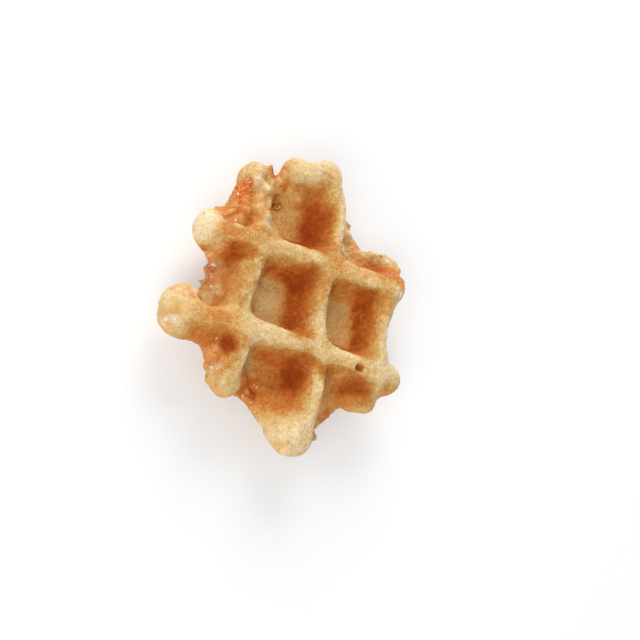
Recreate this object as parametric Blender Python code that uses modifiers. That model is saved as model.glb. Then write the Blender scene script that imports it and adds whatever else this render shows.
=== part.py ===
"""A mini sugar waffle: one baked piece with a deep grid of ridges on both faces and a knobbly, torn outline.

Metres, +Z up, the shown face up. The ridges called rows run along X and the ridges called columns along Y.
The origin is on the surface that the waffle rests on, under the middle of its outline.
"""

import math
import random

import bmesh
import bpy
from mathutils import Vector, noise

MM = 0.001

# Heights above the resting surface
THICKNESS = 16.0 * MM
FLOOR_TOP = 9.2 * MM
FLOOR_UNDER = 5.8 * MM
WEB_MIDDLE = (FLOOR_TOP + FLOOR_UNDER) / 2
RESTING_CUT = 0.5 * MM
PLATE_SIZE = 120.0 * MM

# Ridge sections: half the flat crest, the rounding beside it, and how far the walls then lean out to the web,
# on the left and on the right as one looks along the ridge
ROW_SECTION = (1.5 * MM, 1.0 * MM, 1.6 * MM, 3.3 * MM)
COLUMN_SECTIONS = {
    "left": (1.2 * MM, 1.1 * MM, 3.6 * MM, 2.6 * MM),
    "middle": (0.7 * MM, 1.2 * MM, 6.0 * MM, 2.3 * MM),
    "right": (0.7 * MM, 1.2 * MM, 6.0 * MM, 2.3 * MM),
}
BACK_SECTION = (1.7 * MM, 1.0 * MM, 1.8 * MM, 1.8 * MM)
BACK_END = (3.6 * MM, 3.6 * MM, 3.4 * MM)
PATH_STEP = 2.0 * MM
ARC_POINTS = 3

# Surface
VOXEL = 0.6 * MM
FILLET = 1.3 * MM
SMOOTH_ROUNDS = 4
SMOOTH_FACTOR = 0.5
WELD_GAP = 0.01 * MM
LUMP_SIZE = 6.0 * MM
LUMP_HEIGHT = 0.4 * MM
LUMP_OCTAVES = 3
LUMP_FALLOFF = 1.0
LUMP_FINENESS = 2.0
TRIANGLES = 9700
SEED = 11

# Subdivisions of the balls that knobs and bumps, and then crags and ridge ends, start from
KNOB_DETAIL = 3
CRAG_DETAIL = 2

# Crests of the ridges on the shown face, in millimetres, each read along its length as (x, y)
FRONT_ROWS = {
    "top": [(-4.6, 31.6), (-1.0, 32.6), (2.6, 33.0)],
    "upper": [
        (-22.6, 10.9), (-17.5, 10.8), (-11.6, 10.8), (-5.0, 11.1), (4.0, 11.2), (14.0, 10.7),
        (24.2, 11.0),
    ],
    "lower": [
        (-26.0, -10.8), (-19.5, -10.2), (-12.8, -9.8), (-3.0, -10.1), (7.2, -9.8), (16.0, -10.5),
        (26.6, -11.2),
    ],
}
FRONT_COLUMNS = {
    "left": [
        (-12.7, -21.6), (-11.6, -15.0), (-12.6, -8.0), (-13.1, -2.5), (-12.2, 5.0), (-11.4, 11.0),
        (-12.2, 15.0),
    ],
    "middle": [
        (8.2, -29.8), (9.0, -21.0), (8.4, -10.0), (6.8, -4.0), (5.9, 2.0), (6.9, 11.0), (7.0, 20.0),
        (6.1, 27.0), (3.6, 32.5),
    ],
    "right": [(24.0, -13.6), (24.3, -9.0), (23.1, -2.0), (23.0, 4.0), (24.4, 11.0)],
}

# Crests of the underside, which the waffle rests on
BACK_ROWS = {
    "top": [(-4.0, 27.0), (2.5, 29.0)],
    "upper": [(-17.0, 11.0), (5.5, 11.4), (22.0, 11.2)],
    "lower": [(-18.0, -8.0), (5.5, -8.4), (24.0, -8.8)],
}
BACK_COLUMNS = {
    "left": [(-8.8, -17.0), (-10.6, 0.0), (-11.4, 22.6)],
    "middle": [(7.2, -25.0), (6.6, 0.0), (5.0, 29.0)],
    "right": [(21.6, -12.8), (22.2, 0.0), (22.4, 13.0)],
}

# Knobs of dough where the ridges run out, in millimetres: centre, then half sizes
KNOBS = {
    "top_left": ((-14.9, 26.9, 10.9), (4.3, 4.4, 4.7)),
    "upper_left": ((-22.7, 11.6, 10.6), (4.9, 5.3, 4.9)),
    "lower_left": ((-26.3, -9.6, 10.2), (5.4, 6.8, 5.6)),
    "bottom_left": ((-12.3, -21.6, 10.4), (4.6, 5.3, 5.2)),
    "bottom": ((6.2, -30.2, 10.2), (5.6, 5.7, 5.5)),
    "bottom_right": ((21.6, -18.0, 9.6), (5.5, 2.7, 3.9)),
    "lower_right": ((27.2, -10.6, 10.4), (4.6, 4.4, 4.6)),
    "upper_right": ((24.7, 11.8, 11.0), (4.1, 4.6, 4.7)),
    "top_right": ((2.8, 33.0, 10.9), (5.0, 4.8, 4.9)),
    "top": ((-4.6, 31.9, 10.9), (4.2, 4.3, 4.6)),
}

# Outline of the thin web between the ridges, in millimetres, clockwise from the upper left knob
WEB_OUTLINE = [
    (-23.0, 14.0), (-21.4, 17.4), (-19.9, 19.4), (-18.8, 22.0), (-18.0, 25.0), (-16.0, 29.0),
    (-11.4, 28.0), (-8.3, 31.0), (-2.0, 35.0), (4.6, 35.2), (8.4, 31.0), (10.6, 25.9),
    (13.2, 25.5), (13.4, 23.4), (15.4, 22.2), (17.0, 19.9), (19.4, 20.3), (22.6, 20.6),
    (25.6, 20.0), (27.6, 18.6), (28.0, 14.0), (26.2, 7.0), (25.4, 1.0), (26.6, -5.4),
    (29.0, -10.0), (26.8, -14.0), (22.5, -18.4), (18.4, -18.6), (16.8, -21.0), (15.4, -23.9),
    (13.4, -26.6), (9.0, -29.6), (4.0, -31.0), (0.6, -28.8), (-3.4, -26.6), (-5.6, -25.4),
    (-9.0, -24.2), (-13.0, -24.8), (-15.6, -22.4), (-16.3, -19.8), (-16.7, -17.2), (-19.0, -15.0),
    (-25.6, -13.6), (-28.6, -8.6), (-23.0, -4.6), (-21.5, -1.8), (-21.0, 1.4), (-20.6, 3.6),
    (-21.2, 6.4),
]
WEB_ROUND = 1.2 * MM

# Crusty bumps on the shown side of the web, in millimetres: centre, then half sizes
BUMPS = {
    "corner_crust": ((-14.2, 18.8, 10.2), (5.0, 7.6, 4.0)),
    "corner_rim": ((-17.5, 21.4, 9.4), (1.6, 4.0, 3.0)),
    "cell_corner": ((-8.8, 14.9, 9.8), (3.8, 3.8, 3.4)),
    "cell_top": ((-3.8, 28.6, 8.8), (6.4, 4.6, 4.4)),
    "corner_lump_inner": ((-12.2, 23.4, 12.2), (3.0, 2.9, 3.1)),
    "corner_lump_outer": ((-15.8, 21.2, 11.9), (2.6, 2.8, 2.5)),
    "corner_lump_lower": ((-11.7, 18.6, 12.5), (2.8, 2.6, 3.0)),
    "corner_lump_side": ((-16.4, 16.8, 11.7), (2.9, 2.4, 2.3)),
    "corner_lump_end": ((-13.4, 15.0, 13.0), (2.6, 2.2, 2.3)),
    "side_crust": ((-20.0, 0.8, 8.7), (2.0, 4.6, 1.9)),
    "side_slope": ((-14.6, -15.6, 9.8), (3.6, 4.2, 4.2)),
    "lower_crust": ((-7.2, -20.4, 8.8), (2.6, 3.4, 1.6)),
    "bottom_slope": ((2.0, -25.0, 8.6), (6.4, 5.4, 2.5)),
    "right_crust": ((11.6, 23.0, 8.4), (2.2, 3.0, 1.9)),
    "right_rim": ((22.0, 19.6, 8.6), (4.6, 1.3, 2.5)),
    "right_rim_end": ((26.6, 17.4, 8.8), (2.0, 2.2, 2.7)),
}

# Crumbs and flakes that stand out of the crust, in millimetres: centre, then half sizes
FLAKES = {
    "torn_crumb": ((-10.7, 27.6, 10.6), (1.4, 2.4, 2.2)),
    "upright_flake": ((-11.4, 30.6, 11.4), (0.95, 2.1, 1.5)),
    "side_crumb": ((-22.6, -0.9, 9.4), (1.3, 0.9, 0.8)),
    "bottom_crumb": ((13.1, -28.9, 9.0), (0.9, 1.2, 1.1)),
}

# Dough that fills the corners where ridges cross, in millimetres
CROSSINGS = {
    "upper_left": (-11.6, 10.8),
    "upper_middle": (5.9, 11.1),
    "upper_right": (23.4, 10.9),
    "lower_left": (-12.5, -9.9),
    "lower_middle": (7.4, -9.8),
    "lower_right": (23.3, -10.4),
}
CROSSING_HEIGHT = 11.2
CROSSING_HALF = (4.5, 4.2, 4.4)

# Crags of torn crust: their spacing, their radius, how far in from the rim they sit and how uneven they are,
# the last two in radii
CRAG_STEP = 2.1 * MM
CRAG_RADIUS = (0.7 * MM, 1.35 * MM)
CRAG_INSET = (0.1, 1.1)
CRAG_STRETCH = (0.8, 1.35)
CRAG_ABOVE_UNDERSIDE = 0.6
CRAG_BELOW_TOP = 0.4

CRUST_COLOUR = (0.62, 0.34, 0.11, 1.0)
CRUST_ROUGHNESS = 0.55


def clear_scene():
    for obj in list(bpy.data.objects):
        bpy.data.objects.remove(obj, do_unlink=True)


def crust_material():
    material = bpy.data.materials.new("baked_crust")
    material.use_nodes = True
    shader = material.node_tree.nodes["Principled BSDF"]
    shader.inputs["Base Color"].default_value = CRUST_COLOUR
    shader.inputs["Roughness"].default_value = CRUST_ROUGHNESS
    shader.inputs["Metallic"].default_value = 0.0
    return material


def smooth_path(points, step):
    """Catmull-Rom curve through points given in millimetres, in metres, with a point about every step."""
    given = [Vector((x * MM, y * MM, 0.0)) for x, y in points]
    ends = [2 * given[0] - given[1], *given, 2 * given[-1] - given[-2]]
    path = []
    for before, start, end, after in zip(ends, ends[1:], ends[2:], ends[3:]):
        count = max(1, round((end - start).length / step))
        for i in range(count):
            t = i / count
            path.append(
                0.5 * (
                    2 * start
                    + (end - before) * t
                    + (2 * before - 5 * start + 4 * end - after) * t ** 2
                    + (3 * start - before - 3 * end + after) * t ** 3
                )
            )
    path.append(given[-1])
    return path


def ridge_side(crest, rounding, lean, rise):
    """Widths and heights up one side of a ridge: a leaning wall, then a round shoulder up to the flat crest."""
    side = [(crest + rounding + lean, 0.0), (crest + rounding, rise - rounding)]
    for i in range(1, ARC_POINTS + 1):
        angle = math.pi / 2 * i / ARC_POINTS
        side.append((crest + rounding * math.cos(angle), rise - rounding * (1 - math.sin(angle))))
    return side


def add_ridge(name, points, base_z, crest_z, section):
    """Lofts a ridge along its crest line, from base_z up or down to crest_z."""
    path = smooth_path(points, PATH_STEP)
    crest, rounding, left_lean, right_lean = section
    rise = abs(crest_z - base_z)
    left_side = ridge_side(crest, rounding, left_lean, rise)
    right_side = ridge_side(crest, rounding, right_lean, rise)
    upwards = 1 if crest_z > base_z else -1
    mesh = bmesh.new()
    rings = []
    for i, centre in enumerate(path):
        along = (path[min(i + 1, len(path) - 1)] - path[max(i - 1, 0)]).normalized()
        across = Vector((-along.y, along.x, 0.0))
        ring = []
        for sign, side in ((1, left_side), (-1, right_side[::-1])):
            for width, height in side:
                spot = centre + across * (sign * width)
                ring.append(mesh.verts.new((spot.x, spot.y, base_z + upwards * height)))
        rings.append(ring)
    for first, second in zip(rings, rings[1:]):
        for i in range(len(first)):
            j = (i + 1) % len(first)
            mesh.faces.new((first[i], first[j], second[j], second[i]))
    mesh.faces.new(rings[0])
    mesh.faces.new(rings[-1])
    bmesh.ops.recalc_face_normals(mesh, faces=mesh.faces)
    data = bpy.data.meshes.new(name)
    mesh.to_mesh(data)
    mesh.free()
    ridge = bpy.data.objects.new(name, data)
    bpy.context.scene.collection.objects.link(ridge)
    return ridge


def add_ball(name, centre, half_sizes, detail=KNOB_DETAIL, turn=0.0):
    bpy.ops.mesh.primitive_ico_sphere_add(
        subdivisions=detail, radius=1.0, location=centre, rotation=(0.0, 0.0, turn)
    )
    ball = bpy.context.object
    ball.name = name
    ball.scale = half_sizes
    return ball


def add_web():
    """The thin crust between the ridges: a flat outline with a rounded rim."""
    curve = bpy.data.curves.new("web", "CURVE")
    curve.dimensions = "2D"
    curve.fill_mode = "BOTH"
    curve.resolution_u = 4
    curve.extrude = (FLOOR_TOP - FLOOR_UNDER) / 2 - WEB_ROUND
    curve.bevel_depth = WEB_ROUND
    curve.bevel_resolution = 2
    curve.offset = -WEB_ROUND
    spline = curve.splines.new("BEZIER")
    spline.bezier_points.add(len(WEB_OUTLINE) - 1)
    spline.use_cyclic_u = True
    for point, (x, y) in zip(spline.bezier_points, WEB_OUTLINE):
        point.co = (x * MM, y * MM, 0.0)
        point.handle_left_type = point.handle_right_type = "AUTO"
    web = bpy.data.objects.new("web", curve)
    web.location.z = WEB_MIDDLE
    bpy.context.scene.collection.objects.link(web)
    return web


def add_crags(draw):
    """Small lumps of torn crust set along the rim of the web."""
    outline = smooth_path([*WEB_OUTLINE, WEB_OUTLINE[0]], CRAG_STEP)
    crags = []
    for i, spot in enumerate(outline[:-1]):
        radius = draw.uniform(*CRAG_RADIUS)
        centre = spot - spot.normalized() * radius * draw.uniform(*CRAG_INSET)
        centre.z = draw.uniform(
            FLOOR_UNDER + radius * CRAG_ABOVE_UNDERSIDE, FLOOR_TOP - radius * CRAG_BELOW_TOP
        )
        sizes = [radius * draw.uniform(*CRAG_STRETCH) for _ in range(3)]
        crags.append(add_ball(f"crag_{i}", centre, sizes, CRAG_DETAIL, draw.uniform(0, math.pi)))
    return crags


def add_back_ends():
    """Rounds the ends of the ridges underneath, as the dough fills its mould only so far."""
    half = Vector(BACK_END)
    ends = []
    for name, points in [*BACK_ROWS.items(), *BACK_COLUMNS.items()]:
        for x, y in (points[0], points[-1]):
            ends.append(add_ball(f"back_end_{name}", Vector((x * MM, y * MM, half.z)), half, CRAG_DETAIL))
    return ends


def mm_vector(numbers):
    return Vector(numbers) * MM


def as_mesh(obj):
    """A plain mesh object with the evaluated shape of obj, in world space. The original is removed."""
    graph = bpy.context.evaluated_depsgraph_get()
    data = bpy.data.meshes.new_from_object(obj.evaluated_get(graph))
    data.transform(obj.matrix_world)
    name = obj.name
    bpy.data.objects.remove(obj, do_unlink=True)
    welded = bmesh.new()
    welded.from_mesh(data)
    bmesh.ops.remove_doubles(welded, verts=welded.verts, dist=WELD_GAP)
    bmesh.ops.recalc_face_normals(welded, faces=welded.faces)
    welded.to_mesh(data)
    welded.free()
    plain = bpy.data.objects.new(name, data)
    bpy.context.scene.collection.objects.link(plain)
    return plain


def joined(pieces, name):
    """One object with the meshes of all the pieces, still overlapping."""
    merged = bmesh.new()
    for piece in pieces:
        merged.from_mesh(piece.data)
        bpy.data.objects.remove(piece, do_unlink=True)
    data = bpy.data.meshes.new(name)
    merged.to_mesh(data)
    merged.free()
    whole = bpy.data.objects.new(name, data)
    bpy.context.scene.collection.objects.link(whole)
    return whole


def add_remesh(obj, name):
    remesh = obj.modifiers.new(name, "REMESH")
    remesh.mode = "VOXEL"
    remesh.voxel_size = VOXEL


def add_offset(obj, name, distance):
    offset = obj.modifiers.new(name, "DISPLACE")
    offset.direction = "NORMAL"
    offset.mid_level = 0.0
    offset.strength = distance


def fuse_dough(waffle):
    """Makes the overlapping pieces one skin, with fillets in the hollows between them, as rising dough does.

    The skin is moved out and fused again, which closes the tight hollows, and then moved back in.
    """
    add_remesh(waffle, "fuse")
    add_offset(waffle, "swell", FILLET)
    add_remesh(waffle, "close_hollows")
    add_offset(waffle, "shrink", -FILLET)
    return as_mesh(waffle)


def fuse_crumbs(waffle):
    """Makes the crags and flakes one skin with the dough and takes off their hard edges."""
    add_remesh(waffle, "fuse_crumbs")
    soften = waffle.modifiers.new("soften", "SMOOTH")
    soften.factor = SMOOTH_FACTOR
    soften.iterations = SMOOTH_ROUNDS
    return as_mesh(waffle)


def add_lumps(waffle):
    """Moves the skin in and out a little, in the slow, uneven lumps of a yeast dough."""
    mesh = waffle.data
    normals = [v.normal.copy() for v in mesh.vertices]
    for vertex, normal in zip(mesh.vertices, normals):
        swell = noise.fractal(vertex.co / LUMP_SIZE, LUMP_FALLOFF, LUMP_FINENESS, LUMP_OCTAVES)
        vertex.co += normal * (swell * LUMP_HEIGHT)
    mesh.update()


def thin_out(waffle):
    faces = sum(len(p.vertices) - 2 for p in waffle.data.polygons)
    thin = waffle.modifiers.new("thin_out", "DECIMATE")
    thin.ratio = TRIANGLES / faces
    thin.use_collapse_triangulate = True
    return as_mesh(waffle)


def rest_flat(waffle, cutters):
    """Cuts a sliver off the lowest ridges, which the hot plate leaves flat, and puts that cut at z = 0."""
    lowest = min(v.co.z for v in waffle.data.vertices) + RESTING_CUT
    bpy.ops.mesh.primitive_cube_add(size=PLATE_SIZE, location=(0.0, 0.0, lowest - PLATE_SIZE / 2))
    plate = bpy.context.object
    plate.name = "hot_plate"
    plate.display_type = "WIRE"
    plate.hide_render = True
    for home in list(plate.users_collection):
        home.objects.unlink(plate)
    cutters.objects.link(plate)
    flatten = waffle.modifiers.new("flatten", "BOOLEAN")
    flatten.operation = "DIFFERENCE"
    flatten.solver = "EXACT"
    flatten.object = plate
    waffle = as_mesh(waffle)
    shape = bmesh.new()
    shape.from_mesh(waffle.data)
    bmesh.ops.triangulate(shape, faces=shape.faces)
    bmesh.ops.translate(shape, verts=shape.verts, vec=(0, 0, -lowest))
    shape.to_mesh(waffle.data)
    shape.free()
    bpy.data.objects.remove(plate, do_unlink=True)
    return waffle


def centre_outline(waffle):
    """Puts the origin under the middle of the outline."""
    xs = [v.co.x for v in waffle.data.vertices]
    ys = [v.co.y for v in waffle.data.vertices]
    middle = Vector(((min(xs) + max(xs)) / 2, (min(ys) + max(ys)) / 2, 0.0))
    for vertex in waffle.data.vertices:
        vertex.co -= middle
    print("middle of the outline before centring, mm:", [round(c / MM, 3) for c in middle])


def main():
    clear_scene()
    cutters = bpy.data.collections.new("cutters")
    bpy.context.scene.collection.children.link(cutters)
    draw = random.Random(SEED)
    pieces = [add_web()]
    for name, points in FRONT_ROWS.items():
        pieces.append(add_ridge(f"front_row_{name}", points, WEB_MIDDLE, THICKNESS, ROW_SECTION))
    for name, points in FRONT_COLUMNS.items():
        section = COLUMN_SECTIONS[name]
        pieces.append(add_ridge(f"front_column_{name}", points, WEB_MIDDLE, THICKNESS, section))
    for name, points in [*BACK_ROWS.items(), *BACK_COLUMNS.items()]:
        pieces.append(add_ridge(f"back_{name}", points, WEB_MIDDLE, 0.0, BACK_SECTION))
    for name, (centre, half_sizes) in {**KNOBS, **BUMPS}.items():
        pieces.append(add_ball(name, mm_vector(centre), mm_vector(half_sizes)))
    for name, (x, y) in CROSSINGS.items():
        centre = mm_vector((x, y, CROSSING_HEIGHT))
        pieces.append(add_ball(f"crossing_{name}", centre, mm_vector(CROSSING_HALF)))
    pieces += add_back_ends()
    bpy.context.view_layer.update()
    waffle = joined([as_mesh(piece) for piece in pieces], "waffle")
    waffle = fuse_dough(waffle)
    crumbs = [add_ball(name, mm_vector(centre), mm_vector(half)) for name, (centre, half) in FLAKES.items()]
    crumbs += add_crags(draw)
    bpy.context.view_layer.update()
    waffle = joined([waffle] + [as_mesh(crumb) for crumb in crumbs], "waffle")
    waffle = fuse_crumbs(waffle)
    add_lumps(waffle)
    waffle = thin_out(waffle)
    waffle = rest_flat(waffle, cutters)
    centre_outline(waffle)
    waffle.name = "waffle"
    waffle.data.materials.clear()
    waffle.data.materials.append(crust_material())
    waffle.data.shade_smooth()
    food = bpy.data.collections.new("mini_waffle")
    bpy.context.scene.collection.children.link(food)
    bpy.context.scene.collection.objects.unlink(waffle)
    food.objects.link(waffle)


main()
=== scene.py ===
"""Looks of the mini sugar waffle: the browned crust with its pits and torn rims, sugar, crumbs and caramel.

Places are in millimetres in the part's frame: X along the rows of the grid, Y along its columns and Z out of
the shown face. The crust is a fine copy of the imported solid, so every detail lies on the real form.
"""

import math
import random

import bmesh
import bpy
import numpy as np
from mathutils import Matrix, Quaternion, Vector, noise
from mathutils.bvhtree import BVHTree
from mathutils.kdtree import KDTree


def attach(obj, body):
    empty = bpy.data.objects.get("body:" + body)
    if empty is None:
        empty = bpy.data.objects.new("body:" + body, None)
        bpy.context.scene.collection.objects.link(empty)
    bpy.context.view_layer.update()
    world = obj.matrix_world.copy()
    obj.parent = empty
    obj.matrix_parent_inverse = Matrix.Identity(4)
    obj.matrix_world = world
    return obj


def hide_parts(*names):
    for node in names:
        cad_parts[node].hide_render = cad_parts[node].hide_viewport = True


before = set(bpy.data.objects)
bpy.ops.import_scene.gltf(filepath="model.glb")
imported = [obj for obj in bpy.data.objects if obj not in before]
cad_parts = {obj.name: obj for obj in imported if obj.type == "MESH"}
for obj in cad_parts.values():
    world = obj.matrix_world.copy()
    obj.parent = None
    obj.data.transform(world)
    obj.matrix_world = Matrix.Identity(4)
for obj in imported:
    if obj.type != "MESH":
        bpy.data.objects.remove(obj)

MM = 0.001
NODE = "waffle"
BODY = "root"

# Camera: over the lower left corner of the grid, turned so that the long ridges stand nearly upright
CAMERA_AIM = (9.96, -1.03, 7.0)
CAMERA_DISTANCE = 450.0
CAMERA_AZIMUTH = -140.223
CAMERA_ELEVATION = 60.104
CAMERA_ROLL = 64.544
PIXELS_PER_MM = 4.2
FRAME_PIXELS = 640
SENSOR_WIDTH = 36.0

# Studio lights: azimuth and elevation in degrees, distance and side in metres, and power in watts
KEY_LIGHT = (98.0, 27.0, 0.9, 0.6, 7.5)
FILL_LIGHT = (-125.0, 38.0, 0.9, 0.7, 5.2)
SURROUND_LIGHT = 0.55
FLOOR_SIDE = 3.0
FLOOR_GREY = 0.56
FLOOR_GLOW = 0.34

# The grid's heights, as the solid has them
CREST_HEIGHT = 15.9
WEB_TOP = 8.9
WEB_UNDER = 5.3
WEB_MIDDLE = 7.1

# The fine crust: its skin lies a little inside the solid, which reaches out to the outermost crags
CRUST_VOXEL = 0.36
SMOOTH_ROUNDS = 13
SKIN_DEPTH = 0.18

# How open the space over each vertex is, felt out with rays that start a little off it, in millimetres
SKY_RAYS = 48
SKY_REACH = 30.0
SKY_LIFT = 0.1
SKY_SPREAD = 0.9
SKY_NEIGHBOURS = 6
LEAST_WEIGHT = 1e-6

# How brown the crust is, from 0 for pale dough to 1 for nearly burnt, with painted shade on walls, shoulders
# and in bubble holes
CREST_BAKE = 0.22
FLOOR_BAKE = 0.20
WALL_BAKE_AND_SHADE = 0.50
SHOULDER_SHADE = 0.10
RIM_BAKE = 0.16
PORE_SHADE = 0.42
PATCHY_BAKE = 0.05

# Lumps get painted shade in their creases and painted light on their tops; torn flakes are browner in their
# creases and paler on top
LUMP_CREASE_SHADE = 0.22
LUMP_TOP_LIGHT = 0.50
TORN_CREASE_BAKE = 0.16
TORN_TOP_PALER = 0.28

# Where the browning and shade rule sets in: from none of it to all of it
SLOPE_RANGE = (0.03, 0.24)
ENCLOSED_SHADE_RANGE = (0.08, 0.40)
LOW_RANGE = (0.12, 0.85)
FLOOR_RANGE = (0.2, 1.0)
SHOULDER_SHADE_RANGE = (0.3, 0.8)
CREST_RANGE = (11.0, 14.5)

# Painted shade: walls that face the left are the darkest, and shoulders darken towards the left and the
# bottom
OTHER_WALLS_SHADE = 0.75
LEFT_WALL_SHADE_GAIN = 1.5
LEFT_SHOULDER_SHADE_GAIN = 1.6
LOW_SHOULDER_SHADE_GAIN = 0.8

# The flaky line where the plates met: half its height, even and flaky browning, and where flakes turn hollow
RIM_HALF_HEIGHT = 1.1
RIM_EVEN = 0.4
RIM_FLAKY = 1.2
RIM_MIDDLE = 0.4

# Noises over the crust: size of the lumps, a number that sets each noise apart, and height or strength
PATCHY = (2.6, 1, 1.0)
DRIFT = (8.0, 2, 0.05)
FINE_EDGE = (1.1, 3, 0.22)
PALE_FLAKES = (1.3, 4, 1.0)
FINE_GRAIN = (0.75, 11, 0.17)
COARSE_GRAIN = (1.3, 12, 0.12)
SMALL_SWELLS = (2.4, 13, 0.10)
LARGE_SWELLS = (4.8, 14, 0.20)
TORN_SWELLS = (2.6, 15, 0.16)
TORN_FLAKES = (1.5, 16, 0.42)
TORN_GRAIN = (0.8, 17, 0.30)
CARAMEL_BLISTERS = (1.0, 18, 0.40)
FROST_CRYSTALS = (0.9, 19, 0.24)
BOILED_LUMPS = (3.2, 21, 1.0)
RIM_SCRAPS = (1.1, 22, 1.0)
RING_CURL = (1.3, 23, 0.80)
WAVE_STEPS = (17.3, 5.9, 11.1)
CRUMB_STEPS = (7.7, 13.1, 3.3)
CRUMB_STEEPNESS = 1.4

# How strong the grain is down in the cells, and how much it gains up on the crests
LOW_GRAIN = 0.5
HIGH_GRAIN = 0.6

# Heights of the lumps and the flaky line, and where torn skin, caramel and frost begin under their relief
LUMP_HEIGHT = 1.7
LUMP_MIDDLE = 0.5
RIM_HEIGHT = 0.5
TORN_SINK = 0.20
CARAMEL_SINK = 0.40
FROST_RISE = 0.02

# Patches are full inside the core and gone past the edge, in half sizes; the others make their edges ragged
PATCH_CORE = 0.35
PATCH_EDGE = 1.55
PATCHY_EDGE = 0.26
BAKED_RAGGED = 0.75
CARAMEL_RAGGED = 1.6
FROSTED_RAGGED = 2.0

# Rims of the bubble holes, in radii: of the hole itself and of the painted shade in it
PORE_RIM = (0.6, 1.15)
PORE_SHADE_RIM = (0.7, 1.1)

# The burnt ring's left side is darker than its right
RING_LEAN = 0.35
RING_LEAST = 0.3
RING_MOST = 1.4
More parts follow.
